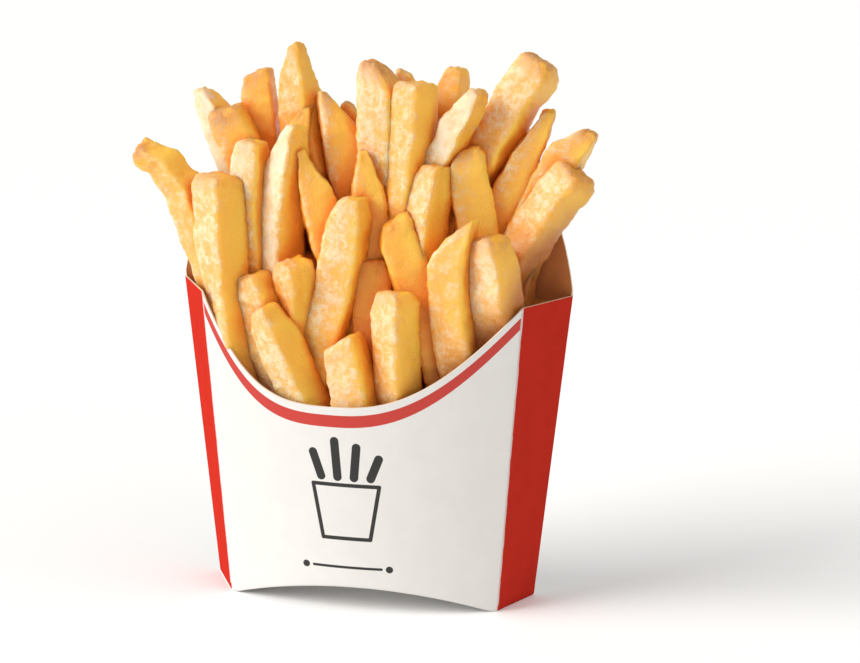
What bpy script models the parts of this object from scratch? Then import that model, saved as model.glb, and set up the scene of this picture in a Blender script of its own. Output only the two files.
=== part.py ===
"""French fries standing in a scooped folding carton.

The carton is one piece of folded card: a bowed front with a scooped rim, two narrow sides, a bowed
back with a high rounded crown, and a bottom that arches up between two narrow feet. The fries are
one bundle: a packed core inside the carton with the fries that show fused onto it.
Lengths are in metres. X runs to the right along the front, Y from the front to the back, Z up.
"""

import math
import random
from collections import namedtuple

import bmesh
import bpy
from mathutils import Matrix, Vector

# The carton, measured on its outer faces
CARD = 0.0005
CORNER_HEIGHT = 0.087
FRONT_HALF_FOOT = 0.038
FRONT_HALF_RIM = 0.044
BACK_HALF_FOOT = 0.046
BACK_HALF_RIM = 0.055
FRONT_LINE_FOOT = -0.008
FRONT_LINE_RIM = -0.014
BACK_LINE_FOOT = 0.008
BACK_LINE_RIM = 0.006
BULGE_FOOT = 0.009
BULGE_RIM = 0.011
SCOOP_DEPTH = 0.028
SCOOP_POWER = 2.9
SCOOP_SKEW = 0.18
CROWN_RISE = 0.036
CROWN_POWER = 6
ARCH_RISE = 0.007

# How the card is divided into faces
PANEL_COLUMNS = 28
SIDE_COLUMNS = 3
WALL_ROWS = 3
FOOT_COLUMNS = 3
ARCH_REACH = math.cos(math.pi * FOOT_COLUMNS / PANEL_COLUMNS)
CREASE_ANGLE = math.radians(30)

# The bundle of fries
CLEARANCE = 0.0003
CORE_INSET = 0.0012
CORE_FRONT_TOP = 0.048
CORE_BACK_TOP = 0.09
CORE_FLOOR = 0.0012
FRY_EDGE = 0.0014
FRY_STATIONS = (0.22, 0.45, 0.68, 0.92)
TIP_SHRINK = 0.88
CUT_FROM = 0.6
TAPER_FROM = 0.45
RIM_MARGIN = 0.001
LEAN_OUT = 0.8
FRY_HOLD = 0.0009
BACK_FRIES = 7
BACK_FRY_SEED = 11

Fry = namedtuple("Fry", "tip foot bow width depth turn cut taper")

# Each fry: the middle of its tip and of its foot, how far its bend pulls the middle in X and Z,
# its width and depth, its turn about its own length in degrees, the slope of its cut, its taper.
FRONT_FRIES = (
    Fry((-0.0260, -0.0170, 0.0845), (-0.003, -0.0130, 0.030), (0.0, 0.0), 0.0102, 0.0098, -31, 0.2, 0.08),
    Fry((-0.0040, -0.0165, 0.0765), (0.000, -0.0155, 0.035), (0.0, 0.0), 0.0112, 0.0090, -14, 0.35, 0.02),
    Fry((0.0105, -0.0165, 0.0905), (0.0115, -0.0140, 0.036), (-0.003, 0.0), 0.0104, 0.0095, -38, 0.1, 0.02),
    Fry((0.0070, -0.0080, 0.1080), (0.027, -0.0085, 0.047), (0.002, 0.0), 0.0108, 0.0092, 4, -0.4, 0.10),
    Fry((0.0262, -0.0140, 0.1070), (0.039, -0.0095, 0.045), (-0.013, 0.0), 0.0108, 0.0095, -16, 0.9, 0.20),
    Fry((0.0345, -0.0110, 0.1050), (0.037, -0.0050, 0.050), (0.002, 0.0), 0.0114, 0.0102, -35, 0.0, 0.04),
    Fry((-0.0305, -0.0110, 0.0920), (-0.014, -0.0095, 0.042), (-0.002, 0.0), 0.0112, 0.0098, -28, -0.1, 0.08),
    Fry((-0.0408, -0.0080, 0.1182), (-0.034, -0.0040, 0.046), (-0.001, 0.0), 0.0118, 0.0102, -38, -0.1, 0.0),
    Fry((-0.0632, -0.0030, 0.1232), (-0.042, 0.0000, 0.055), (0.010, 0.026), 0.0092, 0.0088, -30, 0.0, 0.05),
)
MIDDLE_FRIES = (
    Fry((-0.0034, -0.0100, 0.1140), (-0.018, -0.0075, 0.050), (0.004, 0.0), 0.0110, 0.0102, -18, 0.15, 0.10),
    Fry((-0.0020, -0.0030, 0.1258), (0.009, -0.0020, 0.060), (-0.002, 0.0), 0.0104, 0.0095, 16, 0.1, 0.22),
    Fry((-0.0178, -0.0050, 0.1255), (0.007, -0.0035, 0.062), (-0.005, 0.0), 0.0112, 0.0092, 20, 0.1, 0.35),
    Fry((-0.0212, -0.0040, 0.1320), (-0.022, -0.0030, 0.057), (-0.006, 0.0), 0.0106, 0.0098, 28, 0.0, 0.30),
    Fry((-0.0182, -0.0130, 0.0965), (-0.016, -0.0020, 0.058), (-0.002, 0.0), 0.0098, 0.0094, -42, 0.0, 0.04),
    Fry((-0.0325, -0.0040, 0.1275), (-0.031, -0.0030, 0.060), (-0.003, 0.0), 0.0092, 0.0088, -16, 0.0, 0.08),
    Fry((0.0178, -0.0045, 0.1232), (0.018, -0.0030, 0.060), (-0.007, 0.0), 0.0112, 0.0102, -34, 0.1, 0.10),
    Fry((0.0262, 0.0040, 0.1412), (0.000, 0.0040, 0.082), (-0.001, 0.0), 0.0080, 0.0080, -8, 0.0, 0.15),
    Fry((0.0252, 0.0000, 0.1270), (0.037, 0.0000, 0.058), (-0.001, 0.0), 0.0112, 0.0092, 6, 0.1, 0.12),
    Fry((0.0015, -0.0060, 0.0970), (0.002, -0.0070, 0.045), (0.0, 0.0), 0.0110, 0.0092, 12, 0.1, 0.05),
    Fry((-0.0120, -0.0070, 0.0820), (-0.006, -0.0090, 0.040), (0.0, 0.0), 0.0096, 0.0090, 18, 0.1, 0.05),
    Fry((0.0190, 0.0010, 0.1040), (0.022, -0.0010, 0.050), (0.0, 0.0), 0.0100, 0.0090, -12, 0.0, 0.05),
)
REAR_FRIES = (
    Fry((-0.0470, 0.0070, 0.1388), (-0.025, 0.0060, 0.084), (0.0, 0.0), 0.0102, 0.0090, -26, -0.6, 0.15),
    Fry((-0.0420, 0.0020, 0.1350), (-0.019, 0.0070, 0.082), (0.0, 0.0), 0.0106, 0.0096, 8, -0.1, 0.04),
    Fry((-0.0354, 0.0120, 0.1442), (-0.023, 0.0100, 0.075), (-0.003, 0.0), 0.0094, 0.0090, 14, 0.3, 0.05),
    Fry((-0.0240, 0.0080, 0.1525), (-0.008, 0.0070, 0.084), (-0.005, 0.0), 0.0110, 0.0096, -18, 0.05, 0.38),
    Fry((-0.0205, 0.0040, 0.1360), (-0.028, 0.0030, 0.085), (0.0, 0.0), 0.0078, 0.0080, 0, 0.2, 0.20),
    Fry((-0.0119, 0.0060, 0.1390), (0.001, 0.0050, 0.084), (-0.002, 0.0), 0.0110, 0.0096, 20, -0.45, 0.10),
    Fry((-0.0075, 0.0120, 0.1360), (0.000, 0.0110, 0.090), (0.0, 0.0), 0.0090, 0.0086, 0, -0.4, 0.10),
    Fry((0.0010, 0.0020, 0.1472), (0.007, 0.0020, 0.082), (-0.003, 0.0), 0.0110, 0.0096, -18, -0.4, 0.02),
    Fry((0.0055, 0.0130, 0.1438), (0.008, 0.0120, 0.095), (0.0, 0.0), 0.0086, 0.0084, 10, -0.4, 0.10),
    Fry((0.0118, -0.0020, 0.1445), (0.003, -0.0010, 0.078), (0.003, 0.0), 0.0104, 0.0094, -34, 0.0, 0.0),
    Fry((0.0208, 0.0120, 0.1470), (0.008, 0.0110, 0.090), (0.0, 0.0), 0.0084, 0.0082, -14, 0.0, 0.12),
    Fry((0.0438, 0.0060, 0.1490), (0.008, 0.0050, 0.086), (0.0, 0.0), 0.0110, 0.0100, -18, 0.0, 0.0),
    Fry((0.0465, 0.0050, 0.1372), (0.022, 0.0050, 0.076), (0.000, -0.004), 0.0100, 0.0086, 14, 0.2, 0.42),
    Fry((0.0565, 0.0040, 0.1308), (0.043, 0.0025, 0.062), (-0.005, 0.010), 0.0098, 0.0090, -8, 0.3, 0.15),
    Fry((0.0580, -0.0060, 0.1205), (0.038, -0.0030, 0.055), (-0.007, 0.020), 0.0104, 0.0100, -30, 0.0, 0.0),
)


def mix(low, high, share):
    return low + (high - low) * share


def panel_point(u, z, back):
    """A point on the outer face of the front or back panel: u runs from -1 to 1 across it."""
    share = z / CORNER_HEIGHT
    if back:
        half = mix(BACK_HALF_FOOT, BACK_HALF_RIM, share)
        line = mix(BACK_LINE_FOOT, BACK_LINE_RIM, share)
    else:
        half = mix(FRONT_HALF_FOOT, FRONT_HALF_RIM, share)
        line = mix(FRONT_LINE_FOOT, FRONT_LINE_RIM, share)
    bulge = mix(BULGE_FOOT, BULGE_RIM, share) * (1 - u * u)
    return Vector((u * half, line + bulge if back else line - bulge, z))


def arch_height(u):
    """The height of the bottom edge, which lies flat near both ends and arches up between them."""
    return ARCH_RISE * max(0.0, 1 - (u / ARCH_REACH) ** 2)


def scoop_height(u):
    """The front rim, lowest a little to the left of the middle."""
    shifted = u + SCOOP_SKEW * (1 - u * u)
    return CORNER_HEIGHT - SCOOP_DEPTH * (1 - abs(shifted) ** SCOOP_POWER)


def crown_height(u):
    """The back rim, a high rounded crown."""
    return CORNER_HEIGHT + CROWN_RISE * (1 - abs(u) ** CROWN_POWER)


def panel_columns():
    """Positions across a panel, closer together near its creases."""
    return [-math.cos(math.pi * i / PANEL_COLUMNS) for i in range(PANEL_COLUMNS + 1)]


def girth(low_front, high_front, low_back, high_back):
    """The card's outline as pairs of a low and a high point, once round from the front left."""
    columns = panel_columns()
    front = [(panel_point(u, low_front(u), False), panel_point(u, high_front(u), False)) for u in columns]
    rear = [(panel_point(u, low_back(u), True), panel_point(u, high_back(u), True)) for u in columns]
    pairs = list(front)
    for start, stop in ((front[-1], rear[-1]), (rear[0], front[0])):
        side = [
            tuple(mix(start[k], stop[k], i / SIDE_COLUMNS) for k in (0, 1))
            for i in range(1, SIDE_COLUMNS)
        ]
        if stop is front[0]:
            pairs += side
        else:
            pairs += side + rear[::-1]
    return pairs + [front[0]], front, rear


def add_sheet(bm, columns, rows, place):
    """Adds a grid of columns by rows and puts each of its points where place(i, j) says."""
    made = bmesh.ops.create_grid(bm, x_segments=columns, y_segments=rows, size=1.0)["verts"]
    spots = {}
    for vert in made:
        i = round((vert.co.x + 1) / 2 * columns)
        j = round((vert.co.y + 1) / 2 * rows)
        spots[vert] = place(i, j)
    for vert, spot in spots.items():
        vert.co = spot
    return made


def new_object(name, bm, collection):
    mesh = bpy.data.meshes.new(name)
    bm.to_mesh(mesh)
    bm.free()
    obj = bpy.data.objects.new(name, mesh)
    collection.objects.link(obj)
    return obj


def new_collection(name):
    collection = bpy.data.collections.new(name)
    bpy.context.scene.collection.children.link(collection)
    return collection


def new_material(name, colour, roughness):
    material = bpy.data.materials.new(name)
    material.use_nodes = True
    shader = material.node_tree.nodes["Principled BSDF"]
    shader.inputs["Base Color"].default_value = (*colour, 1)
    shader.inputs["Roughness"].default_value = roughness
    shader.inputs["Metallic"].default_value = 0
    return material


def card_surface(rim_lift):
    """The outer face of the card, walls and bottom in one open surface."""
    pairs, front, rear = girth(
        arch_height,
        lambda u: scoop_height(u) + rim_lift,
        arch_height,
        lambda u: crown_height(u) + rim_lift,
    )
    bm = bmesh.new()
    add_sheet(bm, len(pairs) - 1, WALL_ROWS, lambda i, j: mix(*pairs[i], j / WALL_ROWS))
    add_sheet(
        bm,
        PANEL_COLUMNS,
        SIDE_COLUMNS,
        lambda i, j: mix(front[i][0], rear[i][0], j / SIDE_COLUMNS),
    )
    bmesh.ops.remove_doubles(bm, verts=bm.verts, dist=1e-6)
    bmesh.ops.recalc_face_normals(bm, faces=bm.faces)
    return bm


def add_thickness(obj, thickness, offset):
    shell = obj.modifiers.new("Card", "SOLIDIFY")
    shell.thickness = thickness
    shell.offset = offset
    shell.use_even_offset = True
    return shell


def make_carton(collection):
    carton = new_object("carton", card_surface(0.0), collection)
    carton.data.shade_smooth()
    carton.data.set_sharp_from_angle(angle=CREASE_ANGLE)
    carton.data.materials.append(new_material("coated_card", (0.93, 0.92, 0.90), 0.45))
    add_thickness(carton, CARD, -1)
    return carton


def core_top(front_back):
    """The packed core's top slopes up from the front wall to the back one."""
    return mix(CORE_FRONT_TOP, CORE_BACK_TOP, front_back)


def make_core(collection):
    """The packed inside of the bundle, a little clear of the card all round."""
    inner = (BACK_HALF_FOOT - CORE_INSET) / BACK_HALF_FOOT

    def low(u):
        return arch_height(u) + CARD + CORE_FLOOR

    pairs, front, rear = girth(low, lambda u: core_top(0), low, lambda u: core_top(1))

    def inset(point):
        line = FRONT_LINE_FOOT if point.y < 0 else BACK_LINE_FOOT
        share = 1 - CORE_INSET / (abs(line) + BULGE_FOOT)
        return Vector((point.x * inner, point.y * share, point.z))

    bm = bmesh.new()
    add_sheet(bm, len(pairs) - 1, WALL_ROWS, lambda i, j: inset(mix(*pairs[i], j / WALL_ROWS)))
    for level in (0, 1):
        add_sheet(
            bm,
            PANEL_COLUMNS,
            SIDE_COLUMNS,
            lambda i, j, level=level: inset(mix(front[i][level], rear[i][level], j / SIDE_COLUMNS)),
        )
    bmesh.ops.remove_doubles(bm, verts=bm.verts, dist=1e-6)
    bmesh.ops.recalc_face_normals(bm, faces=bm.faces)
    return new_object("core", bm, collection)


def room_above(height, edge):
    """How far a fry may lean out over an edge of the card at a height above it."""
    return LEAN_OUT * max(0.0, height - edge - RIM_MARGIN)


def held_inside(point):
    """Presses a point that would cross the card back inside it, and lets it lean out above the rim."""
    x, y, z = point
    share = z / CORNER_HEIGHT
    front_half = mix(FRONT_HALF_FOOT, FRONT_HALF_RIM, share)
    back_half = mix(BACK_HALF_FOOT, BACK_HALF_RIM, share)
    front_line = mix(FRONT_LINE_FOOT, FRONT_LINE_RIM, share)
    back_line = mix(BACK_LINE_FOOT, BACK_LINE_RIM, share)
    across = max(0.0, min(1.0, (y - front_line) / (back_line - front_line)))
    side = mix(front_half, back_half, across) - FRY_HOLD + room_above(z, CORNER_HEIGHT)
    x = max(-side, min(side, x))
    u = max(-1.0, min(1.0, x / front_half))
    y = max(y, panel_point(u, z, False).y + FRY_HOLD - room_above(z, scoop_height(u)))
    u = max(-1.0, min(1.0, x / back_half))
    y = min(y, panel_point(u, z, True).y - FRY_HOLD + room_above(z, crown_height(u)))
    return Vector((x, y, z))


def fry_path(fry, share):
    """The fry's centre line, a parabola from foot to tip, and its direction there."""
    foot, tip = Vector(fry.foot), Vector(fry.tip)
    knee = (foot + tip) / 2 + Vector((fry.bow[0], 0, fry.bow[1]))
    spot = foot * (1 - share) ** 2 + knee * 2 * share * (1 - share) + tip * share**2
    along = (knee - foot) * (1 - share) + (tip - knee) * share
    return spot, along.normalized()


def make_fry(fry, collection):
    """A square-cut fry: a long box, ringed, its long edges taken off, tapered, slant-cut and bent."""
    length = (Vector(fry.tip) - Vector(fry.foot)).length
    bm = bmesh.new()
    bmesh.ops.create_cube(
        bm,
        size=1.0,
        matrix=Matrix.Translation((0, 0, length / 2)) @ Matrix.Diagonal((fry.width, fry.depth, length, 1)),
    )
    for station in FRY_STATIONS:
        bmesh.ops.bisect_plane(
            bm,
            geom=bm.verts[:] + bm.edges[:] + bm.faces[:],
            plane_co=(0, 0, station * length),
            plane_no=(0, 0, 1),
        )
    long_edges = [
        e
        for e in bm.edges
        if abs(e.verts[0].co.z - e.verts[1].co.z) > 1e-6
    ]
    bmesh.ops.bevel(bm, geom=long_edges, offset=FRY_EDGE, segments=1, affect="EDGES")
    spin = Matrix.Rotation(math.radians(fry.turn), 3, "Z")
    for vert in bm.verts:
        x, y, z = vert.co
        share = z / length
        narrow = 1 - fry.taper * max(0.0, (share - TAPER_FROM) / (1 - TAPER_FROM)) ** 2
        if share > 1 - 1e-4:
            narrow *= TIP_SHRINK
        slant = fry.cut * x * max(0.0, (share - CUT_FROM) / (1 - CUT_FROM)) ** 2
        section = spin @ Vector((x * narrow, y * narrow, 0))
        spot, along = fry_path(fry, min(1.0, max(0.0, share)))
        across = (Vector((1, 0, 0)) - along * along.x).normalized()
        back = along.cross(across)
        vert.co = held_inside(spot + across * section.x + back * section.y + along * slant)
    return new_object("fry", bm, collection)


def back_fries():
    """Fries packed against the back panel, lower than those in front of them."""
    rng = random.Random(BACK_FRY_SEED)
    for k in range(BACK_FRIES):
        x = mix(-0.036, 0.034, k / (BACK_FRIES - 1))
        top = mix(0.126, 0.113, abs(x) / 0.036) + rng.uniform(-0.003, 0.003)
        lean = rng.uniform(-0.006, 0.006)
        yield Fry(
            (x + lean, 0.0135 - 90 * x * x / 10, top),
            (x * 0.9, 0.0100 - 90 * x * x / 10, 0.062),
            (rng.uniform(-0.002, 0.002), 0.0),
            rng.uniform(0.0088, 0.0102),
            rng.uniform(0.0084, 0.0096),
            rng.uniform(-25, 25),
            rng.uniform(-0.4, 0.4),
            rng.uniform(0.05, 0.2),
        )


def evaluated_mesh(obj):
    bpy.context.view_layer.update()
    depsgraph = bpy.context.evaluated_depsgraph_get()
    return bpy.data.meshes.new_from_object(obj.evaluated_get(depsgraph))


def apply_boolean(obj, operation, collection):
    """Joins or cuts obj with all of a collection at once, then removes the collection's objects."""
    modifier = obj.modifiers.new(operation, "BOOLEAN")
    modifier.operation = operation
    modifier.operand_type = "COLLECTION"
    modifier.collection = collection
    modifier.solver = "EXACT"
    mesh = evaluated_mesh(obj)
    obj.modifiers.clear()
    obj.data = mesh
    for other in list(collection.objects):
        bpy.data.objects.remove(other)
    bpy.data.collections.remove(collection)


def keep_main_body(mesh):
    """Fills sealed hollows and drops loose scraps: only the largest outer surface stays."""
    bm = bmesh.new()
    bm.from_mesh(mesh)
    left = set(bm.faces)
    islands = []
    while left:
        island, front = set(), [left.pop()]
        while front:
            face = front.pop()
            island.add(face)
            for edge in face.edges:
                for other in edge.link_faces:
                    if other in left:
                        left.remove(other)
                        front.append(other)
        islands.append(island)
    islands.sort(key=lambda island: -sum(f.calc_area() for f in island))
    for island in islands[1:]:
        bmesh.ops.delete(bm, geom=list(island), context="FACES")
    bm.to_mesh(mesh)
    bm.free()


def make_fries(collection):
    fries = make_core(collection)
    fries.name = fries.data.name = "fries"
    loose = new_collection("fries to fuse")
    for fry in (*FRONT_FRIES, *MIDDLE_FRIES, *REAR_FRIES, *back_fries()):
        make_fry(fry, loose)
    apply_boolean(fries, "UNION", loose)
    keep_main_body(fries.data)
    card = new_collection("card cutter")
    cutter = new_object("card_cutter", card_surface(CLEARANCE), card)
    thickness = CARD + 2 * CLEARANCE
    add_thickness(cutter, thickness, 2 * CLEARANCE / thickness - 1)
    apply_boolean(fries, "DIFFERENCE", card)
    keep_main_body(fries.data)
    fries.data.name = "fries"
    fries.data.materials.clear()
    fries.data.materials.append(new_material("fried_potato", (0.86, 0.55, 0.18), 0.5))
    return fries


def centre_on_origin(objects):
    """Puts the middle of the whole object's footprint on the origin."""
    bpy.context.view_layer.update()
    corners = [obj.matrix_world @ Vector(c) for obj in objects for c in obj.bound_box]
    middle = Vector(
        (min(c[k] for c in corners) + max(c[k] for c in corners)) / 2 for k in (0, 1)
    )
    for obj in objects:
        obj.data.transform(Matrix.Translation((-middle.x, -middle.y, 0)))


def main():
    for obj in list(bpy.data.objects):
        bpy.data.objects.remove(obj)
    model = new_collection("fries in a carton")
    centre_on_origin([make_carton(model), make_fries(model)])


main()
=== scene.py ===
"""French fries standing in a scooped folding carton, dressed for a plain studio picture.

Lengths are in metres. Points are first worked out in the carton's own frame, with its origin under the
middle of the carton, X to the right along its front, Y from its front to its back and Z up.
"""

import math
import random
from collections import namedtuple

import bpy
import numpy as np
from mathutils import Matrix, Vector
from mathutils.bvhtree import BVHTree


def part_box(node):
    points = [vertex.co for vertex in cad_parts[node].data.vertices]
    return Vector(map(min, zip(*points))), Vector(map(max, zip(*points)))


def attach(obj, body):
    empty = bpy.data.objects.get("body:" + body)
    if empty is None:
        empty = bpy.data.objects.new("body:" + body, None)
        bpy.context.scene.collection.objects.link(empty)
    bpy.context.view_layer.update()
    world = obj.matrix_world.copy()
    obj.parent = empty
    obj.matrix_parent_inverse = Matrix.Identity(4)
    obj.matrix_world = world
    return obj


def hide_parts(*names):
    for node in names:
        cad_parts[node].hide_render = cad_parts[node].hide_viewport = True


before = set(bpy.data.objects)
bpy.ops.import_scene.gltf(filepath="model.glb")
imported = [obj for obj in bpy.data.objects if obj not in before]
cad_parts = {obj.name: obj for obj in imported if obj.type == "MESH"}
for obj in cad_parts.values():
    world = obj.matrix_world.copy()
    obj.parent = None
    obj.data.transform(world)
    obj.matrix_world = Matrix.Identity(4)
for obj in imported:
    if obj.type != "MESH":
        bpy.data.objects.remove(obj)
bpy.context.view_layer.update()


# The folded card. The real one is die cut from coated board, creased, folded round and glued, so its
# front and back bow out between four straight creases, its bottom arches up between two feet, and
# its rim is one clean cut: a scoop in front, straight at the sides and a high crown behind.
CARD = 0.0005
CORNER_HEIGHT = 0.087
FRONT_HALF_FOOT = 0.038
FRONT_HALF_RIM = 0.044
BACK_HALF_FOOT = 0.046
BACK_HALF_RIM = 0.055
FRONT_LINE_FOOT = -0.008
FRONT_LINE_RIM = -0.014
BACK_LINE_FOOT = 0.008
BACK_LINE_RIM = 0.006
BULGE_FOOT = 0.009
BULGE_RIM = 0.011
SCOOP_DEPTH = 0.028
SCOOP_POWER = 2.9
SCOOP_SKEW = 0.18
CROWN_RISE = 0.036
CROWN_POWER = 6
ARCH_RISE = 0.007
ARCH_REACH = 0.944
PANEL_COLUMNS = 80
SIDE_COLUMNS = 14
WALL_ROWS = 36
CREASE_WIDTH = 0.0006
CREASE_ANGLE = math.radians(25)
SMOOTH_ANGLE = math.radians(32)
SIDE_FACING = 0.65
WELD_GAP = CARD / 20
FAR_FROM_CREASE = CARD * 10
BOARD_RELIEF = 0.00004

carton_low, carton_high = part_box("carton")
CARTON_AT = Vector(
    ((carton_low.x + carton_high.x) / 2, carton_high.y - BACK_LINE_RIM - BULGE_RIM, 0)
)


def mix(low, high, share):
    return low + (high - low) * share


def panel_point(u, z, back):
    """A point on the outer face of the front or back panel: u runs from -1 to 1 across it."""
    share = z / CORNER_HEIGHT
    if back:
        half = mix(BACK_HALF_FOOT, BACK_HALF_RIM, share)
        line = mix(BACK_LINE_FOOT, BACK_LINE_RIM, share)
    else:
        half = mix(FRONT_HALF_FOOT, FRONT_HALF_RIM, share)
        line = mix(FRONT_LINE_FOOT, FRONT_LINE_RIM, share)
    bulge = mix(BULGE_FOOT, BULGE_RIM, share) * (1 - u * u)
    return Vector((u * half, line + bulge if back else line - bulge, z))


def arch_height(u):
    return ARCH_RISE * max(0.0, 1 - (u / ARCH_REACH) ** 2)


def scoop_height(u):
    shifted = u + SCOOP_SKEW * (1 - u * u)
    return CORNER_HEIGHT - SCOOP_DEPTH * (1 - abs(shifted) ** SCOOP_POWER)


def crown_height(u):
    return CORNER_HEIGHT + CROWN_RISE * (1 - abs(u) ** CROWN_POWER)


def wall_point(u, share, back):
    """A point on a bowed panel: share runs from its bottom edge to its rim."""
    top = crown_height(u) if back else scoop_height(u)
    return panel_point(u, mix(arch_height(u), top, share), back)


def side_point(sign, across, share):
    """A point on a flat side, from its front crease to its back one."""
    return wall_point(sign, share, False).lerp(wall_point(sign, share, True), across)


def deselect_all():
    bpy.ops.object.select_all(action="DESELECT")


def make_active(obj):
    deselect_all()
    obj.select_set(True)
    bpy.context.view_layer.objects.active = obj


def join_pieces(pieces, name):
    deselect_all()
    for piece in pieces:
        piece.select_set(True)
    bpy.context.view_layer.objects.active = pieces[0]
    bpy.ops.object.join()
    joined = bpy.context.object
    joined.name = joined.data.name = name
    return joined


def apply_modifier(obj, name, kind, **settings):
    """Adds one modifier with its settings and applies it."""
    modifier = obj.modifiers.new(name, kind)
    for key, value in settings.items():
        setattr(modifier, key, value)
    make_active(obj)
    bpy.ops.object.modifier_apply(modifier=modifier.name)


def keep_numbers(mesh, name, kind, values):
    """Stores one number or vector for each point of a mesh."""
    layer = mesh.attributes.new(name, kind, "POINT")
    field = {"FLOAT": "value", "FLOAT_VECTOR": "vector"}[kind]
    layer.data.foreach_set(field, np.asarray(values, np.float32).ravel())


def bent_panel(name, columns, rows, place, rim_gap, crease_gap):
    """A flat grid whose points are moved to place(across, up), both from 0 to 1."""
    deselect_all()
    bpy.ops.mesh.primitive_grid_add(x_subdivisions=columns, y_subdivisions=rows, size=2)
    panel = bpy.context.object
    panel.name = name
    rims = []
    creases = []
    for vert in panel.data.vertices:
        across, up = (vert.co.x + 1) / 2, (vert.co.y + 1) / 2
        vert.co = place(across, up)
        rims.append(rim_gap(across, vert.co))
        creases.append(crease_gap(across))
    keep_numbers(panel.data, "rim_gap", "FLOAT", rims)
    keep_numbers(panel.data, "crease_gap", "FLOAT", creases)
    return panel


def bowed_panel(name, back):
    half = BACK_HALF_RIM if back else FRONT_HALF_RIM
    top = crown_height if back else scoop_height
    return bent_panel(
        name,
        PANEL_COLUMNS,
        WALL_ROWS,
        lambda across, up: wall_point(2 * across - 1, up, back),
        lambda across, spot: top(2 * across - 1) - spot.z,
        lambda across: 2 * half * min(across, 1 - across),
    )


def side_panel(name, sign):
    width = (side_point(sign, 0, 1) - side_point(sign, 1, 1)).length
    return bent_panel(
        name,
        SIDE_COLUMNS,
        WALL_ROWS,
        lambda across, up: side_point(sign, across, up),
        lambda across, spot: CORNER_HEIGHT - spot.z,
        lambda across: width * min(across, 1 - across),
    )


def bottom_panel(name):
    return bent_panel(
        name,
        PANEL_COLUMNS,
        SIDE_COLUMNS,
        lambda across, up: wall_point(2 * across - 1, 0, False).lerp(
            wall_point(2 * across - 1, 0, True), up
        ),
        lambda across, spot: CORNER_HEIGHT,
        lambda across: FAR_FROM_CREASE,
    )


front = bowed_panel("front_panel", back=False)
rear = bowed_panel("back_panel", back=True)
bottom = bottom_panel("bottom_panel")
sides = [side_panel("left_side", -1), side_panel("right_side", 1)]
folded_card = join_pieces([front, rear, bottom, *sides], "folded_card")
bpy.ops.object.mode_set(mode="EDIT")
bpy.ops.mesh.select_all(action="SELECT")
bpy.ops.mesh.remove_doubles(threshold=WELD_GAP)
bpy.ops.mesh.normals_make_consistent(inside=False)
bpy.ops.object.mode_set(mode="OBJECT")
folded_card.data.transform(Matrix.Translation(CARTON_AT))


def new_material(name):
    material = bpy.data.materials.new(name)
    material.use_nodes = True
    nodes = material.node_tree.nodes
    return material, nodes, material.node_tree.links, nodes["Principled BSDF"]


def new_group(name, inputs, outputs):
    """A shader node group with named sockets; each is given as its name and kind."""
    group = bpy.data.node_groups.new(name, "ShaderNodeTree")
    for socket_name, kind in inputs:
        group.interface.new_socket(socket_name, in_out="INPUT", socket_type="NodeSocket" + kind)
    for socket_name, kind in outputs:
        group.interface.new_socket(socket_name, in_out="OUTPUT", socket_type="NodeSocket" + kind)
    source = group.nodes.new("NodeGroupInput")
    sink = group.nodes.new("NodeGroupOutput")
    return group, group.nodes, group.links, source, sink


def maths(nodes, links, operation, *values, clamp=False):
    """A Math node; each value is a number or the socket that feeds it."""
    node = nodes.new("ShaderNodeMath")
    node.operation = operation
    node.use_clamp = clamp
    for socket, value in zip(node.inputs, values):
        if isinstance(value, (int, float)):
            socket.default_value = value
        else:
            links.new(value, socket)
    return node.outputs[0]


def ramp_between(nodes, links, value, low, high, start=0.0, end=1.0):
    """A smooth step of a value from low to high, put out from start to end."""
    node = nodes.new("ShaderNodeMapRange")
    node.interpolation_type = "SMOOTHSTEP"
    links.new(value, node.inputs["Value"])
    node.inputs["From Min"].default_value = low
    node.inputs["From Max"].default_value = high
    node.inputs["To Min"].default_value = start
    node.inputs["To Max"].default_value = end
    return node.outputs["Result"]


def noise(nodes, links, place, scale, detail=2.0, roughness=0.5, distortion=0.0):
    node = nodes.new("ShaderNodeTexNoise")
    node.inputs["Scale"].default_value = scale
    node.inputs["Detail"].default_value = detail
    node.inputs["Roughness"].default_value = roughness
    node.inputs["Distortion"].default_value = distortion
    links.new(place, node.inputs["Vector"])
    return node.outputs["Fac"]


def blend_colours(nodes, links, share, first, second):
    """Mixes two colours, each a triple or the socket that feeds it, by the socket of a share."""
    node = nodes.new("ShaderNodeMix")
    node.data_type = "RGBA"
    links.new(share, node.inputs[0])
    for socket, value in ((node.inputs[6], first), (node.inputs[7], second)):
        if isinstance(value, tuple):
            socket.default_value = (*value, 1)
        else:
            links.new(value, socket)
    return node.outputs[2]


def coated_board_group():
    """The look of coated board: faint mottle, long shallow cockles, and coating cracked along creases."""
    group, nodes, links, source, sink = new_group(
        "coated_board",
        (("Place", "Vector"), ("Crease Gap", "Float")),
        (("Mottle", "Float"), ("Crack", "Float"), ("Height", "Float")),
    )
    place = source.outputs["Place"]
    fibre = noise(nodes, links, place, 1400, 3)
    cockle = noise(nodes, links, place, 45, 1)
    mottle = noise(nodes, links, place, 160, 4, 0.6)
    ragged = maths(nodes, links, "MULTIPLY_ADD", mottle, 0.0009, -0.0003)
    near = maths(nodes, links, "SUBTRACT", source.outputs["Crease Gap"], ragged)
    links.new(ramp_between(nodes, links, near, 0.0004, 0.0001), sink.inputs["Crack"])
    links.new(mottle, sink.inputs["Mottle"])
    height = maths(nodes, links, "MULTIPLY_ADD", cockle, 6.0, fibre)
    links.new(height, sink.inputs["Height"])
    return group


coated_board = coated_board_group()


def numbers_of(nodes, name, output="Fac"):
    node = nodes.new("ShaderNodeAttribute")
    node.attribute_name = name
    return node.outputs[output]


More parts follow.
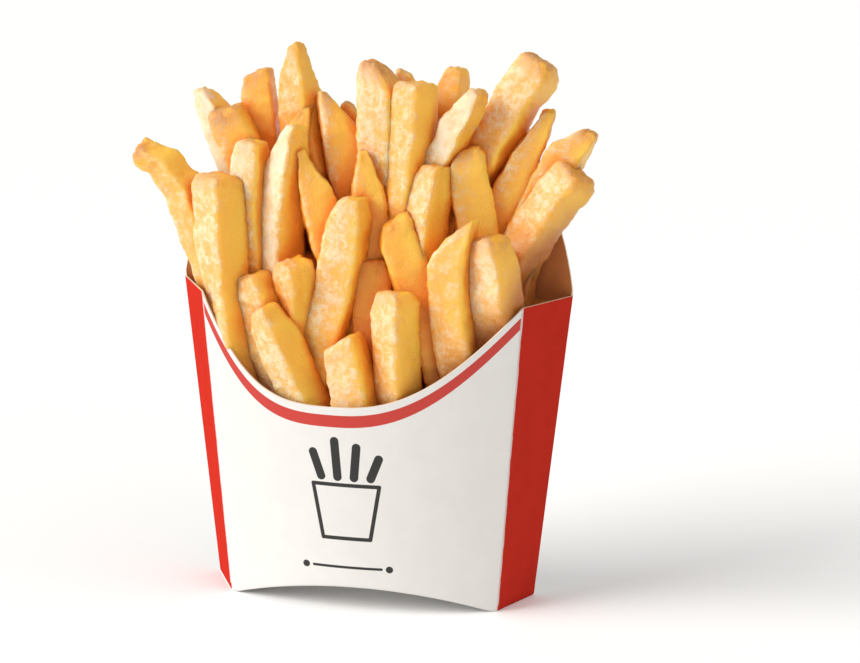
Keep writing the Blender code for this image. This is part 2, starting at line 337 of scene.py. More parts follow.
def object_place(nodes):
    return nodes.new("ShaderNodeTexCoord").outputs["Object"]


def board_in(nodes, links, shader, bump):
    """Places the coated board's effect in a material and lets its relief feed the shader."""
    board = nodes.new("ShaderNodeGroup")
    board.node_tree = coated_board
    links.new(object_place(nodes), board.inputs["Place"])
    links.new(numbers_of(nodes, "crease_gap"), board.inputs["Crease Gap"])
    relief = nodes.new("ShaderNodeBump")
    relief.inputs["Strength"].default_value = bump
    relief.inputs["Distance"].default_value = BOARD_RELIEF
    links.new(board.outputs["Height"], relief.inputs["Height"])
    links.new(relief.outputs["Normal"], shader.inputs["Normal"])
    links.new(
        ramp_between(nodes, links, board.outputs["Mottle"], 0.3, 0.7, 0.34, 0.46),
        shader.inputs["Roughness"],
    )
    return board


# The print on the card. The real board is printed flat before it is cut, so its inks follow the panels:
# red sides, and on the white front a red band along the scoop, over a plain outline of fries in a cup and
# a thin rule. The inside and the cut edges are bare board; the inside is kraft brown made more orange with
# painted reflected light from the fries.
WHITE = (0.70, 0.68, 0.655)
RED = (0.49, 0.028, 0.017)
INK = (0.012, 0.011, 0.011)
# The inside's two colours are its mottle; their orange is partly painted reflected light from the fries.
INNER_LIGHT = (0.60, 0.22, 0.070)
INNER_DARK = (0.50, 0.17, 0.050)
EDGE_LIGHT = (0.80, 0.70, 0.56)
EDGE_DARK = (0.70, 0.56, 0.40)
BAND_TOP = 0.0022
BAND_BOTTOM = 0.0056
BAND_EDGE = 0.00005
INK_EDGE = 0.00006
FRONT_ONLY = 0.0002
STROKE = 0.00055
CUP_MIDDLE = CARTON_AT.x - 0.0022
CUP_FOOT = 0.0215
CUP_HEIGHT = 0.0155
CUP_HALF_FOOT = 0.0066
CUP_HALF_RIM = 0.0092
FRY_BAR_HALF = 0.0012
FRY_BARS = ((-1.5, 0.0090), (-0.5, 0.0125), (0.5, 0.0110), (1.5, 0.0080))
FRY_BAR_GAP_LOW = CUP_HALF_RIM * 0.5
FRY_BAR_GAP_HIGH = CUP_HALF_RIM * 0.66
RULE_HEIGHT = 0.0130
RULE_HALF = 0.0095
RULE_STROKE = STROKE * 0.7
RULE_DOT = 0.0010
RULE_DOT_GAP = RULE_DOT * 2.2


def printed_bar_group():
    """A round-ended bar of ink on the front, as a mask from the place on the card."""
    group, nodes, links, source, sink = new_group(
        "printed_bar",
        (
            ("Place", "Vector"),
            ("Middle X", "Float"),
            ("Middle Z", "Float"),
            ("Tilt", "Float"),
            ("Half Width", "Float"),
            ("Half Length", "Float"),
        ),
        (("Ink", "Float"),),
    )
    parts = nodes.new("ShaderNodeSeparateXYZ")
    links.new(source.outputs["Place"], parts.inputs[0])
    x = maths(nodes, links, "SUBTRACT", parts.outputs["X"], source.outputs["Middle X"])
    z = maths(nodes, links, "SUBTRACT", parts.outputs["Z"], source.outputs["Middle Z"])
    cosine = maths(nodes, links, "COSINE", source.outputs["Tilt"])
    sine = maths(nodes, links, "SINE", source.outputs["Tilt"])
    along = maths(
        nodes,
        links,
        "ADD",
        maths(nodes, links, "MULTIPLY", x, sine),
        maths(nodes, links, "MULTIPLY", z, cosine),
    )
    across = maths(
        nodes,
        links,
        "SUBTRACT",
        maths(nodes, links, "MULTIPLY", x, cosine),
        maths(nodes, links, "MULTIPLY", z, sine),
    )
    straight = maths(nodes, links, "SUBTRACT", source.outputs["Half Length"], source.outputs["Half Width"])
    beyond = maths(
        nodes,
        links,
        "MAXIMUM",
        maths(nodes, links, "SUBTRACT", maths(nodes, links, "ABSOLUTE", along), straight),
        0.0,
    )
    reach = maths(
        nodes,
        links,
        "SQRT",
        maths(
            nodes,
            links,
            "ADD",
            maths(nodes, links, "MULTIPLY", beyond, beyond),
            maths(nodes, links, "MULTIPLY", across, across),
        ),
    )
    outside = maths(nodes, links, "SUBTRACT", reach, source.outputs["Half Width"])
    links.new(ramp_between(nodes, links, outside, INK_EDGE, -INK_EDGE), sink.inputs["Ink"])
    return group


printed_bar = printed_bar_group()


def ink_bar(nodes, links, place, start, end, half_width):
    """A bar from start to end, both (x, z) on the front."""
    bar = nodes.new("ShaderNodeGroup")
    bar.node_tree = printed_bar
    links.new(place, bar.inputs["Place"])
    run, rise = end[0] - start[0], end[1] - start[1]
    bar.inputs["Middle X"].default_value = (start[0] + end[0]) / 2
    bar.inputs["Middle Z"].default_value = (start[1] + end[1]) / 2
    bar.inputs["Tilt"].default_value = math.atan2(run, rise)
    bar.inputs["Half Width"].default_value = half_width
    bar.inputs["Half Length"].default_value = math.hypot(run, rise) / 2 + half_width
    return bar.outputs["Ink"]


def cup_picture(nodes, links, place):
    """The ink of a small cup in outline with four fries standing in it, over a rule with dotted ends."""
    foot, rim = CUP_FOOT, CUP_FOOT + CUP_HEIGHT
    middle = CUP_MIDDLE
    outline = (
        ((middle - CUP_HALF_FOOT, foot), (middle + CUP_HALF_FOOT, foot)),
        ((middle - CUP_HALF_FOOT, foot), (middle - CUP_HALF_RIM, rim)),
        ((middle + CUP_HALF_FOOT, foot), (middle + CUP_HALF_RIM, rim)),
        ((middle - CUP_HALF_RIM, rim), (middle + CUP_HALF_RIM, rim)),
    )
    inks = [ink_bar(nodes, links, place, start, end, STROKE) for start, end in outline]
    gap = FRY_BAR_HALF + 2 * STROKE
    for step, tall in FRY_BARS:
        low = middle + step * FRY_BAR_GAP_LOW
        high = middle + step * FRY_BAR_GAP_HIGH
        inks.append(ink_bar(nodes, links, place, (low, rim + gap), (high, rim + tall), FRY_BAR_HALF))
    left, right = middle - RULE_HALF, middle + RULE_HALF
    inks.append(ink_bar(nodes, links, place, (left, RULE_HEIGHT), (right, RULE_HEIGHT), RULE_STROKE))
    for x in (left - RULE_DOT_GAP, right + RULE_DOT_GAP):
        inks.append(ink_bar(nodes, links, place, (x, RULE_HEIGHT), (x, RULE_HEIGHT), RULE_DOT))
    ink = inks[0]
    for other in inks[1:]:
        ink = maths(nodes, links, "MAXIMUM", ink, other)
    return ink


def front_print_material():
    material, nodes, links, shader = new_material("white_front_card")
    board = board_in(nodes, links, shader, 0.35)
    rim_gap = numbers_of(nodes, "rim_gap")
    below = ramp_between(nodes, links, rim_gap, BAND_TOP - BAND_EDGE, BAND_TOP + BAND_EDGE)
    above = ramp_between(nodes, links, rim_gap, BAND_BOTTOM + BAND_EDGE, BAND_BOTTOM - BAND_EDGE)
    band = maths(nodes, links, "MULTIPLY", below, above)
    place = object_place(nodes)
    parts = nodes.new("ShaderNodeSeparateXYZ")
    links.new(place, parts.inputs[0])
    depth = parts.outputs["Y"]
    faces_front = ramp_between(nodes, links, depth, CARTON_AT.y + FRONT_ONLY, CARTON_AT.y - FRONT_ONLY)
    paper = blend_colours(
        nodes,
        links,
        ramp_between(nodes, links, board.outputs["Mottle"], 0.3, 0.7),
        WHITE,
        tuple(0.97 * c for c in WHITE),
    )
    banded = blend_colours(
        nodes, links, maths(nodes, links, "MULTIPLY", band, faces_front), paper, RED
    )
    picture = maths(nodes, links, "MULTIPLY", cup_picture(nodes, links, place), faces_front)
    links.new(blend_colours(nodes, links, picture, banded, INK), shader.inputs["Base Color"])
    return material


def red_side_material():
    material, nodes, links, shader = new_material("red_side_card")
    board = board_in(nodes, links, shader, 0.3)
    ink = blend_colours(
        nodes,
        links,
        ramp_between(nodes, links, board.outputs["Mottle"], 0.3, 0.7),
        RED,
        tuple(0.93 * c for c in RED),
    )
    shader.inputs["Specular IOR Level"].default_value = 0.0
    cracked = maths(nodes, links, "MULTIPLY", board.outputs["Crack"], 0.75)
    links.new(blend_colours(nodes, links, cracked, ink, WHITE), shader.inputs["Base Color"])
    return material


def inner_card_material():
    material, nodes, links, shader = new_material("plain_inner_card")
    board = board_in(nodes, links, shader, 0.6)
    links.new(
        blend_colours(
            nodes,
            links,
            ramp_between(nodes, links, board.outputs["Mottle"], 0.25, 0.75),
            INNER_LIGHT,
            INNER_DARK,
        ),
        shader.inputs["Base Color"],
    )
    return material


def cut_edge_material():
    material, nodes, links, shader = new_material("cut_card_edge")
    board = board_in(nodes, links, shader, 0.9)
    links.new(
        blend_colours(
            nodes,
            links,
            ramp_between(nodes, links, board.outputs["Mottle"], 0.3, 0.7),
            EDGE_LIGHT,
            EDGE_DARK,
        ),
        shader.inputs["Base Color"],
    )
    return material


inner_card, cut_edge = inner_card_material(), cut_edge_material()
folded_card.data.materials.clear()
for material in (front_print_material(), red_side_material(), inner_card, inner_card, cut_edge, cut_edge):
    folded_card.data.materials.append(material)
for face in folded_card.data.polygons:
    face.material_index = 1 if abs(face.normal.x) > SIDE_FACING else 0
apply_modifier(
    folded_card,
    "Creases",
    "BEVEL",
    width=CREASE_WIDTH,
    segments=3,
    limit_method="ANGLE",
    angle_limit=CREASE_ANGLE,
)
apply_modifier(
    folded_card,
    "Card thickness",
    "SOLIDIFY",
    thickness=CARD,
    offset=-1,
    use_even_offset=True,
    material_offset=2,
    material_offset_rim=4,
)
make_active(folded_card)
bpy.ops.object.shade_smooth_by_angle(angle=SMOOTH_ANGLE)
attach(folded_card, "root")
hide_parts("carton")


# The cut potato. Fries are sawn square from raw potato, so before frying each is a straight bar with
# soft corners and a rounder end. Three lengths are modelled here, and a coarse one for fries that lie
# hidden; every fry below is a copy of the nearest one.
RAW_WIDTH = 0.0100
RAW_DEPTH = 0.0094
RAW_LENGTHS = (0.036, 0.056, 0.080)
FACE_CUTS = 7
RING_STEP = 0.00105
COARSE_LENGTH = 0.050
COARSE_CUTS = 3
COARSE_STEP = 0.0025
ROUND_END = 0.005


def select_edges(obj, wanted):
    """Selects in edit mode the edges whose two ends pass a test."""
    mesh = obj.data
    bpy.ops.object.mode_set(mode="EDIT")
    bpy.ops.mesh.select_mode(type="EDGE")
    bpy.ops.mesh.select_all(action="DESELECT")
    bpy.ops.object.mode_set(mode="OBJECT")
    for edge in mesh.edges:
        start, end = (mesh.vertices[k].co for k in edge.vertices)
        edge.select = wanted(start, end)
    bpy.ops.object.mode_set(mode="EDIT")


def raw_cut(length, step, face_cuts, softness):
    deselect_all()
    bpy.ops.mesh.primitive_cube_add(
        size=1, location=(0, 0, length / 2), scale=(RAW_WIDTH, RAW_DEPTH, length)
    )
    cut = bpy.context.object
    bpy.ops.object.transform_apply(location=True, rotation=False, scale=True)
    select_edges(cut, lambda start, end: abs(start.z - end.z) > length / 2)
    bpy.ops.mesh.subdivide(number_cuts=round(length / step) - 1)
    bpy.ops.object.mode_set(mode="OBJECT")
    select_edges(cut, lambda start, end: abs(start.z - end.z) < step / 4)
    bpy.ops.mesh.subdivide(number_cuts=face_cuts)
    bpy.ops.object.mode_set(mode="OBJECT")
    end_group = cut.vertex_groups.new(name="end")
    for vert in cut.data.vertices:
        if vert.co.z > length - ROUND_END:
            end_group.add([vert.index], 1 - (length - vert.co.z) / ROUND_END, "REPLACE")
    apply_modifier(cut, "Soft corners", "SMOOTH", factor=0.5, iterations=softness)
    apply_modifier(cut, "Round end", "SMOOTH", factor=0.5, iterations=softness, vertex_group="end")
    return cut


raw_cuts = {length: raw_cut(length, RING_STEP, FACE_CUTS, 5) for length in RAW_LENGTHS}
coarse_cut = raw_cut(COARSE_LENGTH, COARSE_STEP, COARSE_CUTS, 2)


# The fries. Each is a raw cut pressed to its place by a lattice, which bends, turns and tapers it and
# slants its end, then puffed and wrinkled as frying does. Fries that touch the card flatten on it.
Fry = namedtuple("Fry", "tip foot bow width depth turn cut taper pale end_width end_length end_side brown")

# Of each fry, tip and foot are the ends of its centre line, and bow bends its middle right and up. It is
# width by depth across and turned by some degrees. Cut slants its end and taper thins it upwards, pale is
# how strongly it is painted pale, its dry bloom together with a painted sheen on the faces turned to the
# key light, end_width, end_length and end_side say how its end narrows, and brown how dark the tip is.
FRONT_FRIES = (
    Fry((-0.0260, -0.0170, 0.0845), (-0.003, -0.0130, 0.030), (0.0, 0.0),
        0.0102, 0.0098, -31, 0.2, 0.08, 0.8, 0.5, 0.010, -0.2, 0.3),
    Fry((-0.0040, -0.0165, 0.0765), (0.0050, -0.0155, 0.035), (0.0, 0.0),
        0.0112, 0.0090, -14, 0.35, 0.02, 0.9, 0.8, 0.005, 0.1, 0.3),
    Fry((0.0105, -0.0165, 0.0905), (0.0155, -0.0140, 0.036), (-0.004, 0.0),
        0.0104, 0.0095, -38, 0.1, 0.02, 0.8, 0.75, 0.006, 0.1, 0.5),
    Fry((0.0070, -0.0080, 0.1080), (0.027, -0.0085, 0.047), (0.002, 0.0),
        0.0110, 0.0092, 22, 0.2, 0.08, 0.15, 0.75, 0.006, 0.6, 0.7),
    Fry((0.0262, -0.0140, 0.1088), (0.039, -0.0095, 0.045), (-0.013, 0.0),
        0.0108, 0.0095, -16, 0.5, 0.10, 0.6, 0.3, 0.011, 1, 0.4),
    Fry((0.0350, -0.0142, 0.1056), (0.0375, -0.0070, 0.050), (0.002, 0.0),
        0.0114, 0.0102, -32, 0.0, 0.04, 0.95, 0.7, 0.008, -0.4, 0.8),
    Fry((-0.0305, -0.0110, 0.0920), (-0.014, -0.0095, 0.042), (-0.002, 0.0),
        0.0112, 0.0098, -28, -0.1, 0.08, 0.8, 0.6, 0.007, 0, 0.3),
    Fry((-0.0408, -0.0080, 0.1182), (-0.0335, -0.0120, 0.046), (-0.002, 0.0),
        0.0118, 0.0102, -38, -0.1, 0.0, 0.7, 0.85, 0.004, 0, 0.6),
    Fry((-0.0650, -0.0030, 0.1244), (-0.042, 0.0000, 0.055), (0.010, 0.026),
        0.0098, 0.0088, -30, -0.25, 0.36, 0.5, 0.8, 0.005, 0.2, 1.2),
)
MIDDLE_FRIES = (
    Fry((-0.0034, -0.0100, 0.1140), (-0.018, -0.0075, 0.050), (0.004, 0.0),
        0.0114, 0.0098, -14, 0.15, 0.10, 0.75, 0.6, 0.008, 0.2, 0.3),
    Fry((-0.0020, -0.0030, 0.1258), (0.009, -0.0020, 0.060), (-0.002, 0.0),
        0.0104, 0.0095, 16, 0.1, 0.22, 0.4, 0.25, 0.014, 0, 0.2),
    Fry((-0.0178, -0.0050, 0.1255), (0.007, -0.0035, 0.062), (-0.005, 0.0),
        0.0112, 0.0092, 20, 0.1, 0.35, 0.4, 0.25, 0.015, -0.3, 0.3),
    Fry((-0.0212, -0.0040, 0.1320), (-0.022, -0.0030, 0.057), (-0.006, 0.0),
        0.0098, 0.0104, -36, 0.0, 0.20, 1.2, 0.4, 0.014, 0.7, 0.1),
    Fry((-0.0182, -0.0130, 0.0965), (-0.016, -0.0020, 0.058), (-0.002, 0.0),
        0.0098, 0.0094, -42, 0.0, 0.04, 0.7, 0.7, 0.006, 0, 0.4),
    Fry((-0.0325, -0.0040, 0.1275), (-0.031, -0.0030, 0.060), (-0.003, 0.0),
        0.0092, 0.0088, -16, 0.0, 0.08, 1.1, 0.75, 0.006, 0, 0.4),
    Fry((0.0178, -0.0045, 0.1232), (0.018, -0.0030, 0.060), (-0.007, 0.0),
        0.0112, 0.0102, -34, 0.1, 0.10, 0.8, 0.5, 0.011, 0.6, 0.4),
    Fry((0.0288, -0.0030, 0.1434), (0.000, 0.0040, 0.082), (-0.001, 0.0),
        0.0080, 0.0078, -24, 0.0, 0.15, 1.7, 0.45, 0.010, 0.5, 0.7),
    Fry((0.0252, 0.0000, 0.1270), (0.037, 0.0000, 0.058), (-0.001, 0.0),
        0.0112, 0.0092, 18, 0.1, 0.12, 0.6, 0.75, 0.005, 0.4, 0.8),
)
GAP_FRIES = (
    Fry((0.0015, -0.0060, 0.0970), (0.002, -0.0070, 0.045), (0.0, 0.0),
        0.0110, 0.0092, 12, 0.1, 0.05, 0.1, 0.7, 0.006, 0, 0.3),
    Fry((-0.0120, -0.0070, 0.0820), (-0.006, -0.0090, 0.040), (0.0, 0.0),
        0.0096, 0.0090, 18, 0.1, 0.05, 0.1, 0.7, 0.006, 0, 0.3),
    Fry((0.0190, 0.0010, 0.1040), (0.022, -0.0010, 0.050), (0.0, 0.0),
        0.0100, 0.0090, -12, 0.0, 0.05, 0.1, 0.7, 0.006, 0, 0.3),
)
REAR_FRIES = (
    Fry((-0.0470, 0.0070, 0.1388), (-0.025, 0.0060, 0.084), (0.0, 0.0),
        0.0108, 0.0090, -26, -0.6, 0.10, 1.8, 0.35, 0.010, -0.8, 0.2),
    Fry((-0.0420, 0.0020, 0.1350), (-0.019, 0.0070, 0.082), (0.0, 0.0),
        0.0106, 0.0096, 8, -0.1, 0.04, 0.7, 0.9, 0.003, 0, 1.2),
    Fry((-0.0354, 0.0120, 0.1442), (-0.023, 0.0100, 0.075), (-0.003, 0.0),
        0.0094, 0.0090, 2, 0.3, 0.05, 0.5, 0.8, 0.004, 0.3, 0.9),
    Fry((-0.0240, 0.0080, 0.1525), (-0.008, 0.0070, 0.084), (-0.005, 0.0),
        0.0110, 0.0096, -24, 0.05, 0.38, 0.6, 0.35, 0.013, 0.5, 0.5),
    Fry((-0.0205, 0.0040, 0.1360), (-0.028, 0.0030, 0.085), (0.0, 0.0),
        0.0078, 0.0080, 0, 0.2, 0.20, 0.2, 0.4, 0.007, 0.8, 1.0),
    Fry((-0.0119, 0.0060, 0.1390), (0.001, 0.0050, 0.084), (-0.002, 0.0),
        0.0110, 0.0096, 20, -0.45, 0.10, 0.7, 0.3, 0.012, -0.8, 0.6),
    Fry((-0.0075, 0.0120, 0.1360), (0.000, 0.0110, 0.090), (0.0, 0.0),
        0.0090, 0.0086, 0, -0.4, 0.10, 0.3, 0.3, 0.012, -0.8, 0.8),
    Fry((0.0018, 0.0020, 0.1480), (0.007, 0.0020, 0.082), (-0.003, 0.0),
        0.0110, 0.0096, -18, -0.4, 0.02, 0.9, 0.5, 0.007, -0.7, 1.2),
    Fry((0.0068, 0.0130, 0.1452), (0.008, 0.0120, 0.095), (0.0, 0.0),
        0.0086, 0.0084, 10, -0.4, 0.10, 0.9, 0.5, 0.008, -0.5, 0.3),
    Fry((0.0118, -0.0020, 0.1445), (0.003, -0.0010, 0.078), (0.003, 0.0),
        0.0104, 0.0094, -34, 0.0, 0.0, 0.65, 0.8, 0.008, 0.8, 0.4),
    Fry((0.0208, 0.0120, 0.1470), (0.008, 0.0110, 0.090), (0.0, 0.0),
        0.0084, 0.0082, -14, 0.0, 0.12, 0.5, 0.6, 0.007, 0, 0.3),
    Fry((0.0445, 0.0060, 0.1506), (0.008, 0.0050, 0.086), (0.0, 0.0),
        0.0110, 0.0100, -18, 0.0, 0.0, 0.8, 0.8, 0.005, 0, 1.0),
    Fry((0.0465, 0.0050, 0.1372), (0.019, 0.0050, 0.076), (0.000, -0.003),
        0.0108, 0.0086, 6, 0.2, 0.50, 0.7, 0.5, 0.016, 0.4, 0.3),
    Fry((0.0577, 0.0040, 0.1328), (0.036, 0.0045, 0.070), (-0.006, 0.012),
        0.0104, 0.0090, -8, 0.3, 0.10, 0.6, 0.42, 0.012, 0.3, 1.1),
    Fry((0.0558, -0.0010, 0.1224), (0.0250, 0.0030, 0.066), (-0.001, 0.006),
        0.0104, 0.0100, -38, 0.0, 0.0, 0.7, 0.85, 0.004, 0, 1.0),
)
CUT_FROM = 0.6
TAPER_FROM = 0.45
FRY_HOLD = 0.0013
RIM_MARGIN = 0.001
LEAN_OUT = 0.8
LAYERS = 8
FRY_SEED = 7
BACK_FRIES = 7
BACK_SEED = 11
BACK_LEFT = -0.036
BACK_RIGHT = 0.034
BACK_TOP = 0.126
BACK_TOP_AT_SIDES = 0.113
BACK_TIP_LINE = 0.0135
BACK_FOOT_LINE = 0.0100
BACK_FOOT_HEIGHT = 0.062
BACK_BOW = 9
INNER_FRIES = 16
INNER_SEED = 3
INNER_REACH = 0.040
INNER_TOP = 0.101
INNER_TOP_AT_SIDES = 0.086
INNER_RISE = 0.6
INNER_FOOT_HEIGHT = 0.052


def back_fries():
    """Fries packed against the back panel, lower than those in front of them."""
    rng = random.Random(BACK_SEED)
    for k in range(BACK_FRIES):
        x = mix(BACK_LEFT, BACK_RIGHT, k / (BACK_FRIES - 1))
        top = mix(BACK_TOP, BACK_TOP_AT_SIDES, abs(x / BACK_LEFT)) + rng.uniform(-0.003, 0.003)
        lean = rng.uniform(-0.006, 0.006)
        forward = BACK_BOW * x * x
        yield Fry(
            (x + lean, BACK_TIP_LINE - forward, top),
            (x * 0.9, BACK_FOOT_LINE - forward, BACK_FOOT_HEIGHT),
            (rng.uniform(-0.002, 0.002), 0.0),
            rng.uniform(0.0088, 0.0102),
            rng.uniform(0.0084, 0.0096),
            rng.uniform(-25, 25),
            rng.uniform(-0.4, 0.4),
            rng.uniform(0.05, 0.2),
            rng.uniform(0.2, 0.8),
            rng.uniform(0.4, 0.9),
            0.008,
            rng.uniform(-0.8, 0.8),
            0.5,
        )


def inner_fries():
    """Fries in the middle of the bundle, whose ends close the gaps between those that show."""
    rng = random.Random(INNER_SEED)
    for k in range(INNER_FRIES):
        x = mix(-INNER_REACH, INNER_REACH, (k + 0.5) / INNER_FRIES)
        y = rng.uniform(-0.006, 0.007)
        top = mix(INNER_TOP, INNER_TOP_AT_SIDES, abs(x) / INNER_REACH)
        top += INNER_RISE * y + rng.uniform(-0.004, 0.004)
        yield Fry(
            (x + rng.uniform(-0.004, 0.004), y, top),
            (x * 0.85, y, INNER_FOOT_HEIGHT),
            (0.0, 0.0),
            rng.uniform(0.0092, 0.0104),
            rng.uniform(0.0086, 0.0098),
            rng.uniform(-40, 40),
            rng.uniform(-0.3, 0.3),
            rng.uniform(0.0, 0.15),
            0.1,
            0.7,
            0.006,
            0.0,
            0.3,
        )


def room_above(height, edge):
    """How far a fry may lean out over an edge of the card at a height above it."""
    return LEAN_OUT * max(0.0, height - edge - RIM_MARGIN)


def held_inside(point):
    """Presses a point that would cross the card back inside it, and lets it lean out above the rim."""
    x, y, z = point
    share = z / CORNER_HEIGHT
    front_half = mix(FRONT_HALF_FOOT, FRONT_HALF_RIM, share)
    back_half = mix(BACK_HALF_FOOT, BACK_HALF_RIM, share)
    front_line = mix(FRONT_LINE_FOOT, FRONT_LINE_RIM, share)
    back_line = mix(BACK_LINE_FOOT, BACK_LINE_RIM, share)
    across = max(0.0, min(1.0, (y - front_line) / (back_line - front_line)))
    side = mix(front_half, back_half, across) - FRY_HOLD + room_above(z, CORNER_HEIGHT)
    x = max(-side, min(side, x))
    u = max(-1.0, min(1.0, x / front_half))
    y = max(y, panel_point(u, z, False).y + FRY_HOLD - room_above(z, scoop_height(u)))
    u = max(-1.0, min(1.0, x / back_half))
    y = min(y, panel_point(u, z, True).y - FRY_HOLD + room_above(z, crown_height(u)))
    return Vector((x, y, z))


def fry_path(fry, share):
    """The fry's centre line, a parabola from foot to tip, and its direction there."""
    foot, tip = Vector(fry.foot), Vector(fry.tip)
    knee = (foot + tip) / 2 + Vector((fry.bow[0], 0, fry.bow[1]))
    spot = foot * (1 - share) ** 2 + knee * 2 * share * (1 - share) + tip * share**2
    along = (knee - foot) * (1 - share) + (tip - knee) * share
    return spot, along.normalized()


deselect_all()
bpy.ops.object.add(type="LATTICE")
fry_press = bpy.context.object
fry_press.name = "fry_press"
fry_press.data.points_u = 2
fry_press.data.points_v = 2
fry_press.data.points_w = LAYERS
fry_press.data.interpolation_type_u = "KEY_LINEAR"
fry_press.data.interpolation_type_v = "KEY_LINEAR"
fry_press.data.interpolation_type_w = "KEY_CARDINAL"


def set_press(fry, length, rng):
    """Moves the lattice's corners to where the corners of this fry's cross-sections go."""
    fry_press.location = (0, 0, length / 2)
    fry_press.scale = (RAW_WIDTH, RAW_DEPTH, length)
    bpy.context.view_layer.update()
    to_lattice = fry_press.matrix_world.inverted()
    for layer in range(LAYERS):
        share = layer / (LAYERS - 1)
        spot, along = fry_path(fry, share)
        across = (Vector((1, 0, 0)) - along * along.x).normalized()
        back = along.cross(across)
        narrow = 1 - fry.taper * max(0.0, (share - TAPER_FROM) / (1 - TAPER_FROM)) ** 2
        narrow *= 1 + rng.uniform(-0.025, 0.025)
        turn = math.radians(fry.turn + rng.uniform(-3, 3))
        wander = Vector((rng.uniform(-0.00012, 0.00012), rng.uniform(-0.00012, 0.00012), 0))
        slope = fry.cut * max(0.0, (share - CUT_FROM) / (1 - CUT_FROM)) ** 2
        for j in (0, 1):
            for i in (0, 1):
                x = (i - 0.5) * fry.width
                y = (j - 0.5) * fry.depth
                section = Matrix.Rotation(turn, 2) @ Vector((x * narrow, y * narrow))
                corner = spot + wander + across * section.x + back * section.y + along * slope * x
                corner = held_inside(corner) + CARTON_AT
                fry_press.data.points[layer * 4 + j * 2 + i].co_deform = to_lattice @ corner


LUMP_HEIGHT = 0.0011
BLISTER_HEIGHT = 0.0007
GRAIN_HEIGHT = 0.0006
TIP_CRUST_HEIGHT = 0.0009
CRUST_LENGTH = 0.0050
FLATTENED_END = 0.5
END_POWER = 1.5
RIDGE_FROM = 0.55
RIDGE_SPAN = 0.3
# The side the key light comes from: faces turned to it are painted pale as a painted sheen, and faces in
# shade keep a small share of it.
KEY_LIGHT_SIDE = (-0.72, -0.60, 0.35)
SHEEN_IN_SHADE = 0.18
ROUNDNESS = 0.7
# The surface of the heap that sets the painted shade among the fries: it rises to the back and, as painted
# shade on the side away from the key light, to the right.
HEAP_SLOPE = 0.8
SHADE_TO_RIGHT = 0.22
HEAP_FRONT = -0.017
SHALLOW = 0.008
BURIED = 0.012
# Gap fries and inner fries are painted as at least this deep, a painted shade.
GAP_DEPTH = 0.35
INNER_DEPTH = 1.0


def crust_texture(name, size, depth):
    texture = bpy.data.textures.new(name, "CLOUDS")
    texture.noise_scale = size
    texture.noise_depth = depth
    texture.noise_type = "SOFT_NOISE"
    return texture


lumps = crust_texture("potato_lumps", 0.0080, 1)
blisters = crust_texture("crust_blisters", 0.0022, 2)
grain = crust_texture("crust_grain", 0.0015, 1)


def smooth_step(values, low, high):
    """A smooth rise from 0 at the low value to 1 at the high one."""
    share = np.clip((np.asarray(values) - low) / (high - low), 0, 1)
    return share * share * (3 - 2 * share)


def buried(spot):
    """How deep in the heap a point lies, from 0 where it stands free to 1 far down among the others, for
    painted shade; the heap is taken higher to the right, away from the key light, so the right is painted
    in more shade.
    """
    u = max(-1.0, min(1.0, spot.x / FRONT_HALF_RIM))
    surface = scoop_height(u) + HEAP_SLOPE * (spot.y - HEAP_FRONT) + SHADE_TO_RIGHT * spot.x
    return float(smooth_step(surface - spot.z, -SHALLOW, BURIED))


